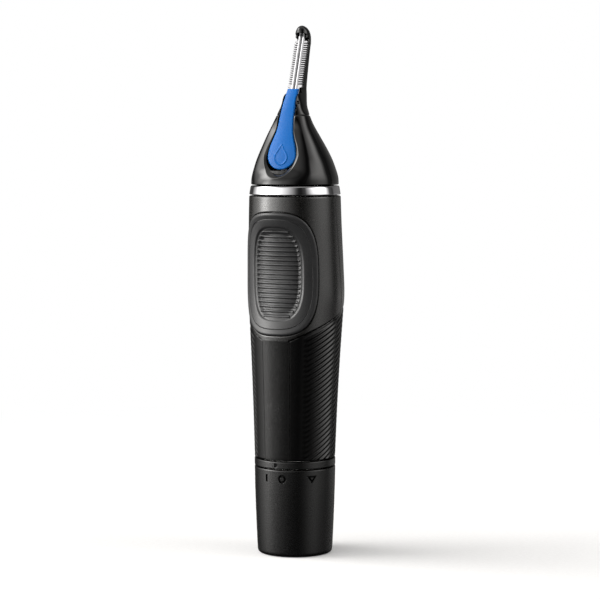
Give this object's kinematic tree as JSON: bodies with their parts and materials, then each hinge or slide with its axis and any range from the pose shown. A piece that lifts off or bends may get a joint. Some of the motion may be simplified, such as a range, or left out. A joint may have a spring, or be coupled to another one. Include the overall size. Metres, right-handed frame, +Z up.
{
  "type": "nose hair trimmer",
  "caption": "Slim battery nose and ear trimmer: two-sided linear blade on a hooded guard arm, rinse tongue, thumb pad, ribbed grip and twist battery cap.",
  "frame": {"origin": "centre of the battery cap's flat end, which the trimmer stands on", "axes": "+Z up the handle to the blade tip, -Y to the front (rinse tongue and thumb pad), +X to the trimmer's left side as it faces the viewer's right"},
  "size_m": [0.026, 0.0268, 0.1438],
  "materials": {
    "gloss_black": "high gloss black ABS",
    "satin_black": "satin black with a fine sparkle texture",
    "soft_black": "soft-touch black, diagonal ribs",
    "pad_grey": "satin dark grey",
    "tongue_blue": "semi-gloss blue",
    "chrome": "polished chrome plating",
    "blade_steel": "ground stainless steel",
    "spring_steel": "plain spring steel",
    "drive_steel": "turned steel",
    "motor_steel": "zinc-plated drawn steel",
    "nickel": "nickel plate",
    "contact_brass": "plain brass strip",
    "chassis_grey": "moulded grey plastic",
    "drive_white": "natural acetal",
    "seal_rubber": "black rubber",
    "cell_jacket": "plain green shrink sleeve"
  },
  "bodies": {
    "handle": {"head_shell": "gloss_black", "guard_arm": "gloss_black", "wash_tongue": "tongue_blue", "wash_channel": "chassis_grey", "fixed_blade": "blade_steel", "blade_leaf_spring": "spring_steel", "head_bulkhead": "chassis_grey", "drive_seal": "seal_rubber", "head_seal": "seal_rubber", "trim_ring": "chrome", "handle_front_shell": "satin_black", "handle_rear_shell": "satin_black", "grip_wrap": "soft_black", "thumb_pad_bezel": "pad_grey", "thumb_pad": "pad_grey", "collar_ring": "satin_black", "battery_tube": "chassis_grey", "cap_seal": "seal_rubber", "positive_contact": "contact_brass", "positive_strip": "contact_brass", "negative_strip": "contact_brass", "motor_terminal_left": "contact_brass", "motor_terminal_right": "contact_brass", "motor_can": "motor_steel", "motor_end_bell": "drive_white", "motor_mount": "chassis_grey", "chassis_screw_left": "drive_steel", "chassis_screw_right": "drive_steel", "rocker_pin": "drive_steel"},
    "switch": {"switch_rotor": "drive_white"},
    "cap": {"battery_cap": "satin_black", "battery_spring": "nickel", "spring_plate": "nickel"},
    "cell": {"battery_cell": "cell_jacket", "battery_terminal": "nickel"},
    "motor": {"motor_shaft": "drive_steel", "eccentric_hub": "drive_white", "crank_pin": "drive_steel"},
    "crank": {"rocker": "drive_white"},
    "blade": {"moving_blade": "blade_steel", "blade_carrier": "chassis_grey"}
  },
  "joints": [
    {"name": "cap_twist", "type": "hinge", "parent": "handle", "child": "switch", "pos_m": [0, 0, 0.024], "axis": [0, 0, 1], "range_deg": [-53, 16]},
    {"name": "cap_slide", "type": "slide", "parent": "switch", "child": "cap", "axis": [0, 0, -1], "range_m": [0, 0.08]},
    {"name": "battery_slide", "type": "slide", "parent": "handle", "child": "cell", "axis": [0, 0, -1], "range_m": [0, 0.048]},
    {"name": "motor_spin", "type": "hinge", "parent": "handle", "child": "motor", "pos_m": [0, 0, 0.088], "axis": [0, 0, 1], "continuous": true},
    {"name": "rocker_swing", "type": "hinge", "parent": "handle", "child": "crank", "pos_m": [0, -0.0016, 0.0982], "axis": [-1, 0, 0], "range_deg": [-5.75, 5.75]},
    {"name": "blade_slide", "type": "slide", "parent": "handle", "child": "blade", "axis": [0, 0.2957, 0.9553], "range_m": [-0.0006, 0.0006]}
  ],
  "couplings": [
    {"joint": "battery_slide", "follows": "cap_slide", "ratio": 0.6},
    {"joint": "rocker_swing", "follows": "blade_slide", "rad_per_m": 166.67}
  ]
}
